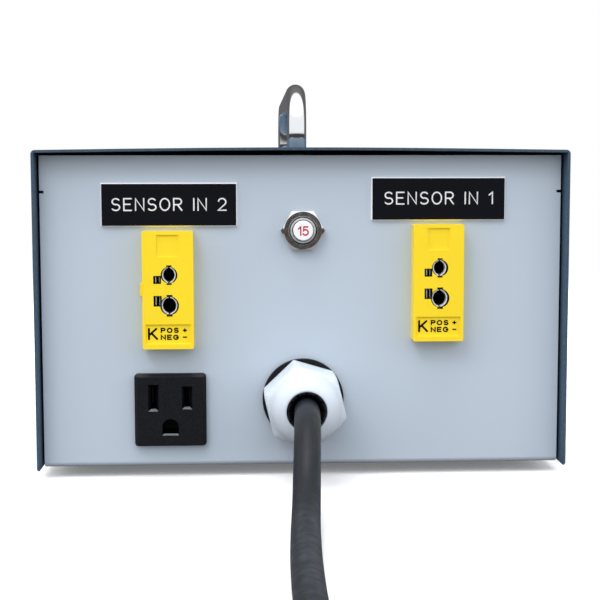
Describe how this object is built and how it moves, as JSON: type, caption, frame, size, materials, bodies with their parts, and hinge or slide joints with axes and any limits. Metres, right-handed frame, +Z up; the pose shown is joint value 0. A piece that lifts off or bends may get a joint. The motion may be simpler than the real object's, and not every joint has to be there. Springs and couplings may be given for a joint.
{
  "type": "bench-top temperature controller",
  "caption": "Bench-top temperature controller: folded steel case with rod handle, rear thermocouple jacks, resettable breaker, mains outlet and glanded power cord, front panel controllers.",
  "frame": {"origin": "on the surface the feet rest on, under the middle of the case", "axes": "+Y from the rear panel (jacks, outlet and cord) to the front panel (controllers), +X to the right when looking at the rear panel, +Z up"},
  "size_m": [0.2395, 0.6127, 0.153],
  "materials": {
    "panel_paint": "smooth semi-gloss light blue-grey paint",
    "cover_paint": "fine-textured dark blue-grey powder coat",
    "zinc_steel": "zinc-plated steel",
    "chrome_rod": "polished chrome",
    "nickel": "nickel plate",
    "rubber_black": "matt black rubber",
    "jack_yellow": "bright yellow moulded plastic, satin",
    "plate_black": "black engraving laminate with a white core",
    "phenolic_black": "black moulded phenolic",
    "button_white": "white moulded plastic",
    "brass_contact": "bright brass",
    "outlet_black": "black moulded plastic with a fine grain",
    "nylon_white": "white moulded nylon",
    "cord_jacket": "dark grey flexible cord jacket",
    "controller_black": "charcoal moulded plastic with a fine grain",
    "window_dark": "dark red-tinted window",
    "key_grey": "grey moulded keys",
    "cap_red": "red moulded plastic",
    "lamp_amber": "amber moulded lens",
    "relay_white": "off-white moulded plastic",
    "sink_aluminium": "extruded aluminium",
    "relay_blue": "blue moulded plastic",
    "wire_insulation": "stranded wire insulation",
    "sensor_insulation": "yellow sensor wire insulation"
  },
  "bodies": {
    "case": {"chassis": "panel_paint", "cover": "cover_paint", "cover_screws": "zinc_steel", "cover_clinch_nuts": "zinc_steel", "carry_handle": "chrome_rod", "handle_screws": "zinc_steel", "handle_washers": "zinc_steel", "rubber_feet": "rubber_black", "foot_screws": "zinc_steel", "foot_nuts": "zinc_steel", "sensor_jack_left": "jack_yellow", "sensor_jack_right": "jack_yellow", "jack_contacts_left": "nickel", "jack_contacts_right": "nickel", "jack_clips": "jack_yellow", "jack_terminal_screws": "brass_contact", "nameplate_left": "plate_black", "nameplate_right": "plate_black", "breaker_body": "phenolic_black", "breaker_nut": "chrome_rod", "breaker_terminals": "brass_contact", "outlet_body": "outlet_black", "outlet_contacts": "brass_contact", "gland_washer": "rubber_black", "gland_body": "nylon_white", "gland_dome_nut": "nylon_white", "gland_seal": "rubber_black", "gland_locknut": "nylon_white", "power_cord": "cord_jacket", "cord_coil": "cord_jacket", "plug_body": "cord_jacket", "plug_blades": "brass_contact", "process_controller_case": "controller_black", "process_controller_window": "window_dark", "limit_controller_case": "controller_black", "limit_controller_window": "window_dark", "controller_clamps": "controller_black", "power_switch_body": "phenolic_black", "reset_button_body": "nickel", "reset_button_nut": "nickel", "heater_lamp": "lamp_amber", "solid_state_relay": "relay_white", "heat_sink": "sink_aluminium", "safety_relay": "relay_blue", "terminal_block": "phenolic_black", "ground_stud": "brass_contact", "mains_wiring": "wire_insulation", "sensor_wiring": "sensor_insulation"},
    "breaker_push_button": {"breaker_button": "button_white"},
    "rocker": {"power_rocker": "phenolic_black"},
    "reset_cap": {"reset_button_cap": "cap_red"},
    "process_key1": {"process_key_1": "key_grey"},
    "process_key2": {"process_key_2": "key_grey"},
    "process_key3": {"process_key_3": "key_grey"},
    "process_key4": {"process_key_4": "key_grey"},
    "limit_key1": {"limit_key_1": "key_grey"},
    "limit_key2": {"limit_key_2": "key_grey"},
    "limit_key3": {"limit_key_3": "key_grey"}
  },
  "joints": [
    {"name": "breaker_trip", "type": "slide", "parent": "case", "child": "breaker_push_button", "axis": [0, -1, 0], "range_m": [0, 0.003]},
    {"name": "rocker_tilt", "type": "hinge", "parent": "case", "child": "rocker", "pos_m": [0.051, 0.1076, 0.032], "axis": [1, 0, 0], "range_deg": [0, 14]},
    {"name": "reset_press", "type": "slide", "parent": "case", "child": "reset_cap", "axis": [0, -1, 0], "range_m": [0, 0.002], "stiffness_N_per_m": 400},
    {"name": "process_key_1_press", "type": "slide", "parent": "case", "child": "process_key1", "axis": [0, -1, 0], "range_m": [0, 0.0006], "stiffness_N_per_m": 800},
    {"name": "process_key_2_press", "type": "slide", "parent": "case", "child": "process_key2", "axis": [0, -1, 0], "range_m": [0, 0.0006], "stiffness_N_per_m": 800},
    {"name": "process_key_3_press", "type": "slide", "parent": "case", "child": "process_key3", "axis": [0, -1, 0], "range_m": [0, 0.0006], "stiffness_N_per_m": 800},
    {"name": "process_key_4_press", "type": "slide", "parent": "case", "child": "process_key4", "axis": [0, -1, 0], "range_m": [0, 0.0006], "stiffness_N_per_m": 800},
    {"name": "limit_key_1_press", "type": "slide", "parent": "case", "child": "limit_key1", "axis": [0, -1, 0], "range_m": [0, 0.0006], "stiffness_N_per_m": 800},
    {"name": "limit_key_2_press", "type": "slide", "parent": "case", "child": "limit_key2", "axis": [0, -1, 0], "range_m": [0, 0.0006], "stiffness_N_per_m": 800},
    {"name": "limit_key_3_press", "type": "slide", "parent": "case", "child": "limit_key3", "axis": [0, -1, 0], "range_m": [0, 0.0006], "stiffness_N_per_m": 800}
  ]
}
